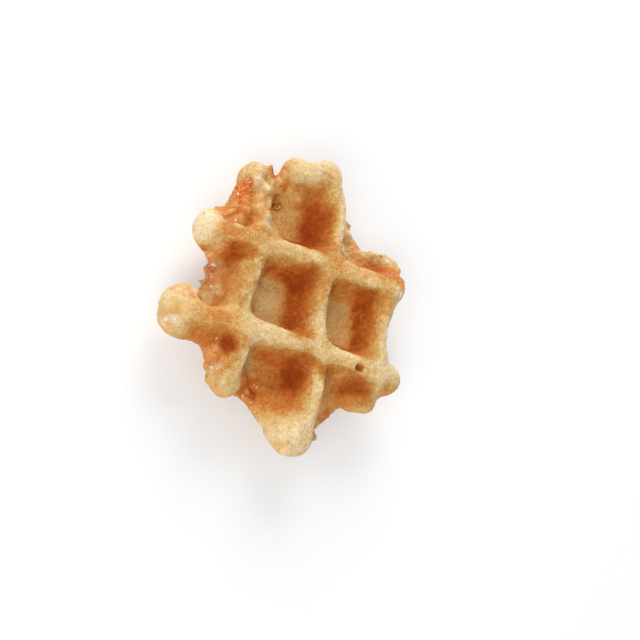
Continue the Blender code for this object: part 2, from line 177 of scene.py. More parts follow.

# Patches of browning and painted shade on the shown face, darkest on cell walls, in their corners and under
# crests, seen from above: centre, half sizes, turn in degrees, how dark and how fully so
BAKE_AND_SHADE_PATCHES = {
    "upper_cell_wall": ((2.3, 19.4), (3.4, 10.4), 0, 0.90, 0.95),
    "upper_cell_wall_foot": ((4.8, 13.9), (2.0, 2.6), 0, 0.80, 0.88),
    "upper_cell_top": ((-2.8, 26.3), (5.4, 1.6), 0, 0.72, 0.85),
    "upper_cell_floor": ((-5.2, 22.5), (3.0, 4.6), 0, 0.38, 0.90),
    "upper_cell_low_floor": ((-6.0, 16.4), (3.8, 2.4), 25, 0.40, 0.80),
    "upper_cell_far_side": ((-9.9, 21.6), (1.2, 4.6), 0, 0.40, 0.90),
    "upper_cell_spot": ((-7.4, 26.0), (0.7, 0.9), 0, 0.76, 0.80),
    "middle_left_wall": ((1.3, -1.4), (2.8, 8.8), 0, 0.84, 0.90),
    "middle_left_top": ((-3.4, 6.1), (7.0, 2.2), 0, 0.90, 0.92),
    "middle_left_corner": ((2.4, 4.8), (3.2, 3.2), 0, 0.92, 0.85),
    "middle_left_foot": ((3.6, -8.2), (2.4, 1.5), 0, 0.74, 0.88),
    "middle_left_far_side": ((-8.9, -1.0), (1.5, 6.8), 0, 0.46, 0.90),
    "middle_crossing": ((5.6, 3.4), (2.2, 5.0), 0, 0.58, 0.75),
    "middle_left_floor": ((-5.8, -0.4), (4.0, 5.6), 0, 0.27, 0.85),
    "middle_right_wall": ((19.5, 0.0), (1.9, 9.6), 0, 0.85, 0.90),
    "middle_right_foot": ((21.0, -7.8), (2.0, 1.6), 0, 0.60, 0.80),
    "middle_right_far_side": ((9.7, 0.2), (1.2, 6.8), 0, 0.50, 0.85),
    "middle_right_top": ((14.6, 5.8), (7.4, 2.0), 0, 0.85, 0.90),
    "middle_right_corner": ((18.4, 4.6), (2.4, 3.0), 0, 0.88, 0.80),
    "middle_right_wall_foot": ((16.6, -3.2), (0.9, 3.4), 0, 0.42, 0.80),
    "middle_right_floor": ((12.8, 0.4), (3.6, 5.6), 0, 0.34, 0.85),
    "lower_cell_floor": ((-1.6, -20.6), (5.4, 6.6), 0, 0.62, 0.85),
    "lower_cell_wall": ((3.0, -20.0), (4.0, 9.0), 0, 0.72, 0.80),
    "lower_cell_end": ((0.8, -26.0), (5.0, 3.2), -20, 0.64, 0.85),
    "lower_cell_top": ((-1.5, -15.2), (7.6, 1.4), 0, 0.72, 0.85),
    "lower_cell_dark": ((4.0, -17.6), (2.5, 4.3), 0, 0.98, 0.90),
    "lower_cell_corner": ((5.6, -14.2), (2.2, 2.0), 0, 0.78, 0.85),
    "lower_cell_right_side": ((9.4, -16.6), (0.9, 1.8), 0, 0.56, 0.80),
    "lower_right_top": ((14.0, -15.2), (6.6, 2.4), 0, 0.80, 0.90),
    "lower_right_side": ((14.8, -18.8), (3.8, 4.6), 0, 0.42, 0.90),
    "lower_right_dark": ((19.8, -16.8), (4.2, 2.2), 4, 0.90, 0.88),
    "lower_right_lip": ((20.6, -19.4), (4.2, 1.6), 8, 0.66, 0.85),
    "left_slope": ((-20.2, -0.6), (3.2, 7.2), 0, 0.20, 1.00),
    "left_valley": ((-16.6, 1.0), (1.5, 6.2), 0, 0.62, 0.88),
    "left_column": ((-13.8, -1.2), (2.6, 7.0), 0, 0.55, 0.88),
    "under_upper_left_knob": ((-16.8, 6.3), (4.4, 1.8), 0, 0.97, 0.95),
    "left_slope_top": ((-20.4, 5.6), (2.0, 2.0), 0, 0.28, 0.75),
    "arm": ((-19.0, -11.4), (7.6, 3.6), 0, 0.48, 0.85),
    "arm_dark": ((-18.6, -10.6), (2.8, 1.4), 10, 0.60, 0.80),
    "arm_under": ((-21.2, -15.2), (5.0, 1.3), -4, 0.62, 0.88),
    "low_left_side": ((-16.4, -20.0), (1.6, 3.6), 0, 0.28, 0.90),
    "low_left_column": ((-13.6, -18.6), (2.6, 6.0), 0, 0.50, 0.85),
    "low_left_column_top": ((-11.8, -14.8), (2.0, 2.0), 0, 0.60, 0.80),
    "low_left_column_side": ((-15.4, -18.6), (1.1, 2.2), 0, 0.68, 0.80),
    "upper_left_arm": ((-19.8, 10.0), (5.4, 2.4), 0, 0.60, 0.85),
    "upper_left_crossing": ((-13.0, 10.6), (4.4, 3.6), 0, 0.54, 0.80),
    "upper_left_crossing_low": ((-14.6, 7.0), (2.6, 1.5), 0, 0.72, 0.80),
    "upper_row_top": ((-11.0, 12.8), (4.8, 1.2), 0, 0.55, 0.80),
    "corner": ((-15.5, 18.5), (3.8, 5.8), 0, 0.41, 0.80),
    "corner_groove": ((-17.2, 15.6), (2.8, 2.2), 0, 0.68, 0.85),
    "corner_hollow": ((-17.6, 21.0), (1.4, 3.4), 0, 0.62, 0.80),
    "corner_flake": ((-12.4, 27.2), (1.7, 2.6), -25, 0.40, 0.85),
    "corner_inner_edge": ((-11.4, 21.4), (1.2, 4.4), 0, 0.42, 0.75),
    "notch_flake": ((-10.8, 30.0), (1.4, 1.6), 0, 0.66, 0.90),
    "corner_edge": ((-10.0, 18.7), (0.7, 1.0), 0, 0.80, 0.90),
    "upper_row_right": ((14.6, 10.8), (7.2, 1.6), 0, 0.33, 0.80),
    "upper_row_right_side": ((12.6, 8.6), (5.4, 1.3), 0, 0.44, 0.70),
    "upper_row_right_crest": ((18.6, 9.2), (2.4, 1.4), 0, 0.20, 0.80),
    "upper_middle_crossing": ((7.2, 10.8), (3.0, 5.0), 0, 0.50, 0.78),
    "upper_row": ((-5.0, 9.0), (5.6, 2.6), 0, 0.42, 0.80),
    "lower_row_right": ((13.6, -12.2), (9.4, 1.2), 0, 0.38, 0.80),
    "lower_row_crossing": ((9.2, -8.8), (1.6, 2.6), 0, 0.44, 0.80),
    "right_web": ((12.6, 19.0), (3.6, 3.8), 0, 0.12, 0.95),
    "right_web_tip": ((12.0, 23.0), (1.8, 2.6), 0, 0.26, 0.80),
    "right_web_edge": ((15.4, 17.6), (1.6, 2.0), 0, 0.52, 0.80),
    "right_trough": ((21.4, 14.0), (4.8, 2.8), -10, 0.72, 0.90),
    "right_trough_end": ((24.6, 14.4), (2.8, 2.6), 0, 0.60, 0.80),
    "right_column_slope": ((21.6, 0.0), (1.2, 8.4), 0, 0.47, 0.60),
    "right_column_top": ((22.6, 5.8), (2.4, 4.2), 0, 0.62, 0.80),
    "right_knob_side": ((28.2, -14.2), (2.6, 2.0), 30, 0.62, 0.85),
    "thin_web": ((12.8, -25.0), (3.0, 4.2), 0, 0.40, 0.90),
    "thin_web_dark": ((15.2, -23.6), (1.0, 2.4), -30, 0.60, 0.80),
    "torn_slope": ((-5.2, -23.6), (2.6, 2.4), 60, 0.82, 0.85),
    "torn_slope_top": ((-7.4, -18.6), (2.6, 3.4), 0, 0.34, 0.90),
    "burnt_spot_halo": ((-16.8, -15.0), (3.4, 2.1), 10, 0.72, 0.88),
    "burnt_spot": ((-14.6, -16.2), (1.5, 2.0), 30, 1.02, 1.00),
}

# Dough that the hot plates hardly touched, written as the patches above are
PALE = {
    "lower_left_knob": ((-29.8, -10.8), (4.2, 6.2), 0, 0.17, 0.90),
    "upper_left_knob": ((-25.8, 10.8), (2.6, 4.6), 0, 0.06, 0.90),
    "bottom_knob": ((3.4, -33.2), (7.0, 5.6), 0, 0.15, 0.95),
    "bottom_left_knob": ((-13.0, -24.6), (3.6, 2.8), 0, 0.35, 0.75),
    "top_left_knob": ((-15.8, 27.6), (2.6, 2.2), 0, 0.32, 0.80),
    "top_knob": ((4.4, 27.4), (2.2, 3.2), 0, 0.40, 0.85),
    "top_knob_left": ((-5.4, 29.6), (3.4, 1.8), 0, 0.25, 0.90),
    "corner_lump": ((-14.8, 23.6), (1.9, 1.8), 0, 0.16, 0.70),
    "right_rim": ((22.4, 18.4), (5.8, 1.8), 0, 0.10, 0.95),
    "upper_right_knob": ((27.2, 9.4), (1.8, 3.2), 20, 0.44, 0.85),
    "right_knob": ((28.6, -11.4), (2.4, 2.6), 0, 0.24, 0.80),
    "middle_column_top": ((8.4, 20.0), (1.4, 6.0), 0, 0.14, 0.60),
    "upper_row_middle": ((2.2, 10.7), (2.4, 1.6), 0, 0.16, 0.80),
    "left_column_foot": ((-11.2, -6.2), (1.6, 1.4), 0, 0.26, 0.70),
    "lower_row": ((1.4, -11.6), (2.2, 1.2), 0, 0.18, 0.70),
}

# Crust torn where the dough ran out, rougher and pinker than the rest: centre, half sizes, turn and strength
TORN = {
    "left_slope": ((-20.2, -0.2), (2.4, 6.8), 0, 0.8),
    "corner_rim": ((-20.6, 15.4), (2.8, 2.8), 0, 0.9),
    "corner_side": ((-18.6, 18.6), (1.8, 4.2), 0, 0.8),
    "corner": ((-15.6, 18.0), (3.6, 6.0), 0, 0.35),
    "right_web": ((13.2, 19.6), (3.6, 4.8), 0, 0.45),
    "right_knob": ((25.6, 13.8), (2.8, 3.4), 0, 0.9),
    "right_rim": ((22.6, 19.4), (4.8, 1.4), 0, 0.5),
    "upper_row_right": ((15.0, 11.0), (8.4, 1.8), 0, 0.35),
    "upper_middle_crossing": ((8.6, 14.0), (1.6, 5.0), 0, 0.5),
    "torn_slope": ((-5.0, -24.2), (4.6, 2.6), -30, 0.8),
    "low_left_side": ((-17.2, -20.0), (1.2, 3.6), 0, 0.8),
    "thin_web": ((13.4, -24.4), (3.6, 4.8), 0, 0.7),
    "knob_seam": ((-25.4, -7.4), (4.4, 1.7), 0, 0.8),
    "arm": ((-20.4, -10.8), (5.8, 3.2), 0, 0.35),
    "upper_left_arm": ((-20.4, 9.4), (4.6, 2.6), 0, 0.3),
    "notch": ((-11.4, 28.4), (1.9, 1.7), 0, 0.6),
}

# Crust that boiled over into lumps, written as the torn crust is
LUMPY = {
    "corner": ((-14.6, 20.6), (3.6, 6.6), 0, 1.0),
    "corner_inner": ((-12.0, 23.6), (2.4, 3.6), 0, 1.0),
    "seam": ((-17.0, 14.6), (4.6, 2.0), -15, 0.9),
    "left_slope": ((-19.8, 0.6), (2.8, 6.0), 0, 0.8),
    "lower_left_knob": ((-29.4, -13.0), (3.0, 3.4), 0, 0.5),
    "knob_seam": ((-25.0, -6.6), (4.6, 1.4), 0, 0.8),
    "bottom_left_knob": ((-14.8, -22.6), (3.0, 4.0), 0, 0.55),
    "bottom_knob": ((4.6, -32.6), (4.6, 3.8), 0, 0.5),
    "torn_slope": ((-6.0, -22.4), (3.4, 3.6), 30, 0.8),
    "right_web": ((12.6, 21.0), (2.4, 5.0), 0, 0.9),
    "right_rim": ((23.4, 18.8), (5.2, 2.0), 0, 0.8),
    "left_column": ((-12.6, -1.0), (3.0, 8.6), 0, 0.35),
}

# Caramel and melted sugar, written as the torn crust is
CARAMEL = {
    "knob_hollow": ((-17.7, 22.6), (1.5, 2.0), 0, 1.0),
    "knob_hollow_end": ((-18.0, 20.4), (1.1, 1.3), 0, 0.8),
    "seam": ((-20.4, 13.2), (1.9, 1.3), -20, 0.8),
    "seam_end": ((-17.4, 13.0), (1.7, 0.9), -15, 0.5),
    "seam_tail": ((-14.0, 12.6), (1.6, 0.8), -15, 0.35),
    "left_rim": ((-20.7, 1.8), (1.5, 2.2), 0, 0.7),
    "left_rim_low": ((-20.2, -1.6), (1.6, 0.9), 0, 0.45),
    "torn_slope": ((-5.4, -22.2), (1.5, 1.7), 35, 0.30),
    "right_trough": ((23.4, 14.2), (2.6, 1.3), 0, 0.30),
    "thin_web": ((15.4, -23.4), (1.0, 2.0), -30, 0.4),
    "notch": ((-10.2, 27.9), (0.6, 0.9), 0, 0.6),
}

# Frosted, half-melted sugar, written as the torn crust is
FROSTED = {
    "lower_left_knob": ((-29.2, -14.2), (1.7, 0.9), 0, 0.9),
    "upper_right_knob": ((26.4, 9.0), (1.6, 1.2), 20, 0.6),
    "bottom_left_knob": ((-16.2, -21.8), (0.7, 1.0), 0, 0.5),
    "thin_web": ((13.6, -22.2), (1.4, 1.7), 0, 0.25),
    "right_crust": ((11.8, 22.0), (1.3, 2.6), 0, 0.35),
    "upper_left_knob": ((-26.0, 11.6), (1.8, 2.8), 0, 0.4),
    "corner": ((-14.4, 24.4), (1.6, 1.8), 0, 0.35),
}

# Golden hollows on the knobs: centre, half sizes, turn, how brown, how fully so and depth
HOLLOWS = {
    "lower_left_knob": ((-28.8, -11.9), (2.2, 2.0), 0, 0.36, 0.60, 0.5),
    "bottom_knob": ((3.8, -35.2), (1.7, 1.2), 15, 0.28, 0.35, 0.4),
}

# Holes left by bubbles: centre in three dimensions, radius and depth
PORES = {
    "lower_row": ((18.4, -12.4, 15.8), 1.2, 1.1),
    "upper_cell": ((-7.2, 22.0, 9.1), 0.40, 0.3),
    "upper_left_knob": ((-26.4, 12.8, 12.7), 0.34, 0.5),
}

# The burst bubble's edge: centre in three dimensions, radius, width and how much browner
BURNT_RING = ((-7.2, 22.0, 9.1), 1.0, 0.26, 0.55)

# Pieces of pearl sugar baked into the crust: place from above and size
PEARLS = {
    "left_rim": ((-19.6, 3.0), 1.5),
    "left_rim_low": ((-19.6, -2.4), 0.9),
    "upper_right_knob": ((26.3, 9.0), 1.3),
    "bottom_left_knob": ((-16.2, -21.6), 1.0),
    "lower_left_knob": ((-29.6, -14.2), 1.1),
    "lower_left_knob_end": ((-28.2, -14.4), 0.9),
    "right_crust": ((12.0, 21.6), 0.9),
    "seam": ((-18.4, 13.6), 0.7),
    "knob_hollow": ((-18.3, 20.9), 0.8),
}

# Colours by how brown the crust is, and the other colours, as (place, colour) stops or one colour
CRUST_STOPS = [
    (0.0, (0.95, 0.79, 0.49)),
    (0.22, (0.74, 0.505, 0.225)),
    (0.42, (0.66, 0.345, 0.098)),
    (0.55, (0.61, 0.240, 0.052)),
    (0.70, (0.51, 0.145, 0.020)),
    (0.85, (0.38, 0.070, 0.005)),
    (1.0, (0.27, 0.038, 0.002)),
]
CREST_STOPS = [
    (0.0, (0.92, 0.78, 0.52)),
    (0.22, (0.76, 0.56, 0.295)),
    (0.42, (0.63, 0.39, 0.135)),
    (0.55, (0.54, 0.255, 0.056)),
    (0.70, (0.48, 0.150, 0.022)),
    (1.0, (0.30, 0.045, 0.002)),
]
TORN_STOPS = [
    (0.0, (0.88, 0.62, 0.36)),
    (0.3, (0.83, 0.42, 0.165)),
    (0.6, (0.69, 0.225, 0.05)),
    (1.0, (0.34, 0.060, 0.010)),
]
MELTED_STOPS = [(0.3, (0.36, 0.045, 0.004)), (0.5, (0.70, 0.135, 0.014)), (0.7, (0.84, 0.32, 0.070))]
BEAD_STOPS = [(0.3, (0.42, 0.060, 0.006)), (0.52, (0.74, 0.165, 0.020)), (0.72, (0.86, 0.38, 0.10))]
CRUMB_STOPS = [(0.32, (0.44, 0.13, 0.028)), (0.48, (0.70, 0.30, 0.085)), (0.66, (0.84, 0.52, 0.24))]
SUGAR_STOPS = [(0.3, (0.74, 0.52, 0.34)), (0.7, (0.88, 0.76, 0.62))]
GOLDEN_COLOUR = (0.72, 0.42, 0.10)
FROST_COLOUR = (0.82, 0.64, 0.43)
BUBBLE_SHADE_COLOUR = (0.20, 0.09, 0.035)
SPECKLE_COLOUR = (0.90, 0.76, 0.50)

# How far red, green and blue light runs under the skin, beside each other
CRUST_SCATTER = (1.0, 0.45, 0.18)
SUGAR_SCATTER = (1.0, 0.7, 0.45)
CARAMEL_SCATTER = (1.0, 0.3, 0.1)

# The crust's shading: how far the grains swing the browning, and how fast the fine one fades as it browns
FINE_SWING = 0.80
MIDDLE_SWING = 0.36
GRAIN_ON_PALE = 1.20
GRAIN_FADE = 0.85
TORN_TINT = 0.65
FROST_TINT = 0.75

# How rough the dough is, and how much smoother melted sugar and the tops of the fine grain are
DOUGH_ROUGHNESS = 0.58
MELTED_SMOOTHER = 0.36
GRAIN_SMOOTHER = 0.20

# Pale specks, where a fine noise is high, fading as the crust gets browner
SPECKLE_START = 0.6
SPECKLE_CONTRAST = 6.0
SPECKLE_ON_PALE = 0.50
SPECKLE_FADE = 0.75

# Tiny open bubbles, painted as dots of shade: spacing in millimetres, radius in spacings, sharpness, and the
# share left out
DOT_SPACING = 2.6
DOT_RADIUS = 0.075
DOT_SHARPNESS = 40.0
DOTS_LEFT_OUT = 0.6

# Scattered pieces: how many, smallest and largest size, how deep sunk in radii and how flat
SUGAR_CRYSTALS = (420, (0.14, 0.42), 0.30, 0.9)
TORN_CRUMBS = (420, (0.25, 0.85), 0.45, 0.7)
CARAMEL_BEADS = (170, (0.35, 1.0), 0.5, 0.6)
PEARL_SINK = 0.3
PEARL_SQUASH = 0.8
SEED = 5

# How thickly sugar lies on pale crests, torn crust, frosted sugar and caramel
CREST_SUGAR = 0.008
PALE_CREST = 0.4
TORN_SUGAR = 0.10
FROSTED_SUGAR = 0.5
CARAMEL_SUGAR = 0.8
LEVEL_CRUMBS_FEWER = 0.85

# The shape of one scattered piece: an uneven ball, stretched by a draw in each direction
PIECE_ROUNDNESS = 2
PIECE_STRETCH = ((0.8, 1.3), (0.65, 1.1), (0.7, 1.0))
PIECE_UNEVEN = 0.45
PIECE_WAVES = 1.4
PIECE_SHIFT = 9


def smooth_step(low, high, values):
    """0 below the low value, 1 above the high one, and a smooth rise between them."""
    t = np.clip((values - low) / (high - low), 0.0, 1.0)
    return t * t * (3.0 - 2.0 * t)


def patch(points, centre, half_sizes, turn, ragged):
    """1 within an oval seen from above and 0 well outside it, with the ragged values moving its edge."""
    x = points[:, 0] - centre[0]
    y = points[:, 1] - centre[1]
    angle = math.radians(turn)
    along = (x * math.cos(angle) + y * math.sin(angle)) / half_sizes[0]
    across = (y * math.cos(angle) - x * math.sin(angle)) / half_sizes[1]
    return 1.0 - smooth_step(PATCH_CORE, PATCH_EDGE, np.hypot(along, across) + ragged)


def strongest(points, patches, ragged):
    """The strongest of several named patches, each with a strength of its own."""
    total = np.zeros(len(points))
    for centre, half_sizes, turn, strength in patches.values():
        total = np.maximum(total, strength * patch(points, centre, half_sizes, turn, ragged))
    return total


def painted(points, values, patches, ragged):
    """The values with each patch laid over them in turn."""
    for centre, half_sizes, turn, target, fully in patches.values():
        values = values + (target - values) * fully * patch(points, centre, half_sizes, turn, ragged)
    return values


def waves(points, size, shift, height):
    """Smooth noise with lumps of the given size, from about minus the height to the height."""
    offset = Vector([shift * step for step in WAVE_STEPS])
    return height * np.array([noise.noise(Vector(p) / size + offset) for p in points])


def crumbs(points, size, shift, height):
    """Rounded crumbs with sharp creases between them, from 0 in a crease to about the height on a crumb."""
    offset = Vector([shift * step for step in CRUMB_STEPS])
    gaps = np.array([noise.voronoi(Vector(p) / size + offset)[0][0] for p in points])
    return height * np.clip(1.0 - gaps * CRUMB_STEEPNESS, 0.0, 1.0)


def inside_ball(points, centre, radius, rim):
    """1 inside a ball and 0 outside it, with a soft rim given in radii."""
    apart = np.linalg.norm(points - np.array(centre), axis=1)
    return 1.0 - smooth_step(radius * rim[0], radius * rim[1], apart)


def mesh_points(mesh):
    """The places of a mesh's vertices, in millimetres."""
    flat = np.empty(len(mesh.vertices) * 3)
    mesh.vertices.foreach_get("co", flat)
    return flat.reshape(-1, 3) / MM


def mesh_normals(mesh):
    """The outward directions of a mesh's vertices."""
    flat = np.empty(len(mesh.vertices) * 3)
    mesh.vertices.foreach_get("normal", flat)
    return flat.reshape(-1, 3)


def set_points(mesh, points):
    """Moves a mesh's vertices to places in millimetres."""
    mesh.vertices.foreach_set("co", (points * MM).ravel())
    mesh.update()


def set_mask(mesh, name, values):
    """Keeps one value per vertex, from 0 to 1, where a material can read it."""
    attribute = mesh.attributes.new(name, "FLOAT", "POINT")
    attribute.data.foreach_set("value", np.clip(values, 0.0, 1.0).astype(np.float32))


def new_object(name, mesh, material):
    """A smooth piece that rides on the part."""
    piece = bpy.data.objects.new(name, mesh)
    bpy.context.scene.collection.objects.link(piece)
    mesh.materials.clear()
    mesh.materials.append(material)
    mesh.shade_smooth()
    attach(piece, BODY)
    return piece


def evaluated_mesh(obj):
    """The object's mesh with its modifiers applied."""
    graph = bpy.context.evaluated_depsgraph_get()
    return bpy.data.meshes.new_from_object(obj.evaluated_get(graph))


def surface_of(mesh):
    """A mesh's surface, ready to be hit by rays."""
    return BVHTree.FromPolygons(
        [v.co[:] for v in mesh.vertices], [p.vertices[:] for p in mesh.polygons]
    )


def dome_of_rays(count):
    """Directions spread evenly, by their share of the light, over the dome around +Z."""
    golden_angle = math.pi * (3.0 - math.sqrt(5.0))
    rays = []
    for i in range(count):
        rise = math.sqrt((i + 0.5) / count)
        flat = math.sqrt(1.0 - rise * rise)
        rays.append(Vector((flat * math.cos(golden_angle * i), flat * math.sin(golden_angle * i), rise)))
    return rays


def open_sky(mesh):
    """How much of the space over each vertex is open: 1 in the open, near 0 deep in a corner."""
    tree = surface_of(mesh)
    rays = dome_of_rays(SKY_RAYS)
    sky = []
    for vertex in mesh.vertices:
        turn = vertex.normal.to_track_quat("Z", "Y")
        start = vertex.co + vertex.normal * SKY_LIFT * MM
        clear = sum(tree.ray_cast(start, turn @ ray, SKY_REACH * MM)[0] is None for ray in rays)
        sky.append(clear / SKY_RAYS)
    return np.array(sky)


def spread(coarse_points, values, points, reach):
    """Carries values from coarse points to fine ones, blended over the nearest few."""
    tree = KDTree(len(coarse_points))
    for i, spot in enumerate(coarse_points):
        tree.insert(spot, i)
    tree.balance()
    carried = np.empty(len(points))
    for i, spot in enumerate(points):
        found = tree.find_n(spot, SKY_NEIGHBOURS)
        weights = [math.exp(-(gap / reach) ** 2) + LEAST_WEIGHT for _, _, gap in found]
        carried[i] = sum(w * values[n] for w, (_, n, _) in zip(weights, found)) / sum(weights)
    return carried


def fine_copy():
    """The solid, meshed finely and with its facets smoothed away."""
    scratch = bpy.data.objects.new("scratch", bpy.data.objects[NODE].data.copy())
    bpy.context.scene.collection.objects.link(scratch)
    remesh = scratch.modifiers.new("fine", "REMESH")
    remesh.mode = "VOXEL"
    remesh.voxel_size = CRUST_VOXEL * MM
    soften = scratch.modifiers.new("soften", "SMOOTH")
    soften.factor = 0.5
    soften.iterations = SMOOTH_ROUNDS
    mesh = evaluated_mesh(scratch)
    bpy.data.objects.remove(scratch, do_unlink=True)
    return mesh


def browning_and_shade_rule(points, normals, sky):
    """Pale crests, golden floors and brown walls, with painted shade in enclosed places and on sides that
    face the left and the bottom.
    """
    shown = points[:, 2] > WEB_MIDDLE
    over_web = (points[:, 2] - WEB_TOP) / (CREST_HEIGHT - WEB_TOP)
    under_web = (WEB_UNDER - points[:, 2]) / WEB_UNDER
    rise = np.clip(np.where(shown, over_web, under_web), 0.0, 1.0)
    slope = smooth_step(*SLOPE_RANGE, 1.0 - np.abs(normals[:, 2]))
    # Painted shade: walls darken where little open space lies over them, and most where they face the left
    enclosed_shade = smooth_step(*ENCLOSED_SHADE_RANGE, 1.0 - sky)
    low = 1.0 - smooth_step(*LOW_RANGE, rise)
    leftward_shade = np.clip(-LEFT_WALL_SHADE_GAIN * normals[:, 0], 0.0, 1.0)
    wall = slope * low * enclosed_shade * (OTHER_WALLS_SHADE + (1.0 - OTHER_WALLS_SHADE) * leftward_shade)
    floor = smooth_step(*FLOOR_RANGE, 1.0 - rise)
    # Painted shade on shoulders that face the left and the bottom
    outward = -LEFT_SHOULDER_SHADE_GAIN * normals[:, 0] - LOW_SHOULDER_SHADE_GAIN * normals[:, 1]
    shoulder_shade = np.clip(outward, 0.0, 1.0) * smooth_step(*SHOULDER_SHADE_RANGE, rise)
    return CREST_BAKE + FLOOR_BAKE * floor + WALL_BAKE_AND_SHADE * wall + SHOULDER_SHADE * shoulder_shade


def browned_and_shaded(points, normals, sky, shown, ragged):
    """How brown each place is, painted shade included: by the rule, and on the shown face by the patches
    over it.
    """
    rule = browning_and_shade_rule(points, normals, sky)
    hollows = {name: spot[:5] for name, spot in HOLLOWS.items()}
    bake_and_shade = rule
    for patches in (BAKE_AND_SHADE_PATCHES, PALE, hollows):
        bake_and_shade = painted(points, bake_and_shade, patches, BAKED_RAGGED * ragged)
    return rule + (bake_and_shade - rule) * shown


def burnt_ring(points):
    """The browned edge of a burst bubble, curled and darker on its left."""
    centre, radius, width, added = BURNT_RING
    apart = points - np.array(centre)
    gap = np.linalg.norm(apart, axis=1) - radius * (1.0 + waves(points, *RING_CURL))
    lean = (1.0 - RING_LEAN * apart[:, 0] / radius).clip(RING_LEAST, RING_MOST)
    return added * lean * np.exp(-(gap / width) ** 2)


def bubble_shade_and_burn(points):
    """How much darker the bubble holes are with painted shade, and how much browner the burst bubble's edge.
    """
    shade_and_burn = burnt_ring(points)
    for centre, radius, _ in PORES.values():
        shade_and_burn += PORE_SHADE * inside_ball(points, centre, radius, PORE_SHADE_RIM)
    return shade_and_burn


def plate_seam(points, normals):
    """The flaky line along the outer edge where the two hot plates met: how strong, and how flaky."""
    upright = 1.0 - np.abs(normals[:, 2])
    rim = upright * np.exp(-((points[:, 2] - WEB_MIDDLE) / RIM_HALF_HEIGHT) ** 2)
    return rim, crumbs(points, *RIM_SCRAPS)


def crust_masks(points, normals, sky):
    """What the oven did, vertex by vertex, with painted shade and light mixed into the browning."""
    shown = smooth_step(WEB_UNDER, WEB_MIDDLE, points[:, 2])
    patchy = waves(points, *PATCHY)
    ragged = PATCHY_EDGE * patchy + waves(points, *FINE_EDGE)
    golden = {name: (*spot[:3], spot[4]) for name, spot in HOLLOWS.items()}
    torn = shown * strongest(points, TORN, ragged)
    lumpy = shown * strongest(points, LUMPY, ragged)
    lumps = crumbs(points, *BOILED_LUMPS)
    rim, scraps = plate_seam(points, normals)
    bake_and_shade = browned_and_shaded(points, normals, sky, shown, ragged)
    bake_and_shade += PATCHY_BAKE * patchy + waves(points, *DRIFT)
    # Painted shade in the creases of the boiled lumps and painted light on their tops
    bake_and_shade += lumpy * (LUMP_CREASE_SHADE - LUMP_TOP_LIGHT * lumps)
    bake_and_shade += torn * (TORN_CREASE_BAKE - TORN_TOP_PALER * crumbs(points, *PALE_FLAKES))
    bake_and_shade += RIM_BAKE * rim * (RIM_EVEN + RIM_FLAKY * scraps) + bubble_shade_and_burn(points)
    untorn = np.clip(1.0 - 2.0 * torn, 0.0, 1.0)
    return {
        "bake_and_shade": bake_and_shade,
        "torn": torn,
        "caramel": shown * strongest(points, CARAMEL, CARAMEL_RAGGED * ragged),
        "frosted": shown * strongest(points, FROSTED, FROSTED_RAGGED * ragged),
        "golden": shown * strongest(points, golden, ragged),
        "raised": shown * smooth_step(*CREST_RANGE, points[:, 2]) * untorn,
        "lumps": lumpy * (lumps - LUMP_MIDDLE),
        "rim": rim * (scraps - RIM_MIDDLE),
    }


def skin_relief(points, masks):
    """How far the skin moves outward: grain all over, flakes on torn crust, lumps, blisters and frost."""
    high = smooth_step(WEB_TOP, CREST_HEIGHT, points[:, 2])
    grain = waves(points, *FINE_GRAIN) + waves(points, *COARSE_GRAIN)
    out = grain * (LOW_GRAIN + HIGH_GRAIN * high)
    out += waves(points, *SMALL_SWELLS) + waves(points, *LARGE_SWELLS)
    out += masks["torn"] * (crumbs(points, *TORN_FLAKES) - TORN_SINK + waves(points, *TORN_GRAIN))
    out += LUMP_HEIGHT * masks["lumps"] + masks["torn"] * waves(points, *TORN_SWELLS)
    out += RIM_HEIGHT * masks["rim"] - SKIN_DEPTH
    out += masks["caramel"] * (crumbs(points, *CARAMEL_BLISTERS) - CARAMEL_SINK)
    out += masks["frosted"] * (crumbs(points, *FROST_CRYSTALS) + FROST_RISE)
    return out


def roughen(points, normals, masks):
    """The points with the skin's relief, the hollows on the knobs and the bubble holes."""
    out = skin_relief(points, masks)
    for centre, half_sizes, turn, _, _, depth in HOLLOWS.values():
        out -= depth * patch(points, centre, half_sizes, turn, 0.0) * (points[:, 2] > WEB_MIDDLE)
    for centre, radius, depth in PORES.values():
        out -= depth * inside_ball(points, centre, radius, PORE_RIM)
    moved = points + normals * out[:, None]
    moved[:, 2] = np.maximum(moved[:, 2], 0.0)
    return moved


def ramp(tree, name, factor, stops):
    """A colour ramp through (place, colour) stops."""
    node = tree.nodes.new("ShaderNodeValToRGB")
    node.label = name
    ramp_stops = node.color_ramp.elements
    while len(ramp_stops) < len(stops):
        ramp_stops.new(0.5)
    for stop, (place, colour) in zip(ramp_stops, stops):
        stop.position = place
        stop.color = (*colour, 1.0)
    tree.links.new(factor, node.inputs["Fac"])
    return node.outputs["Color"]


def mask_value(tree, name):
    """The value that set_mask kept under a name."""
    node = tree.nodes.new("ShaderNodeAttribute")
    node.attribute_name = name
    return node.outputs["Fac"]


def noise_value(tree, size, detail=2.0, roughness=0.5):
    """Noise with lumps of the given size in millimetres, from 0 to 1."""
    place = tree.nodes.new("ShaderNodeTexCoord")
    node = tree.nodes.new("ShaderNodeTexNoise")
    node.inputs["Scale"].default_value = 1.0 / (size * MM)
    node.inputs["Detail"].default_value = detail
    node.inputs["Roughness"].default_value = roughness
    tree.links.new(place.outputs["Object"], node.inputs["Vector"])
    return node.outputs["Fac"]


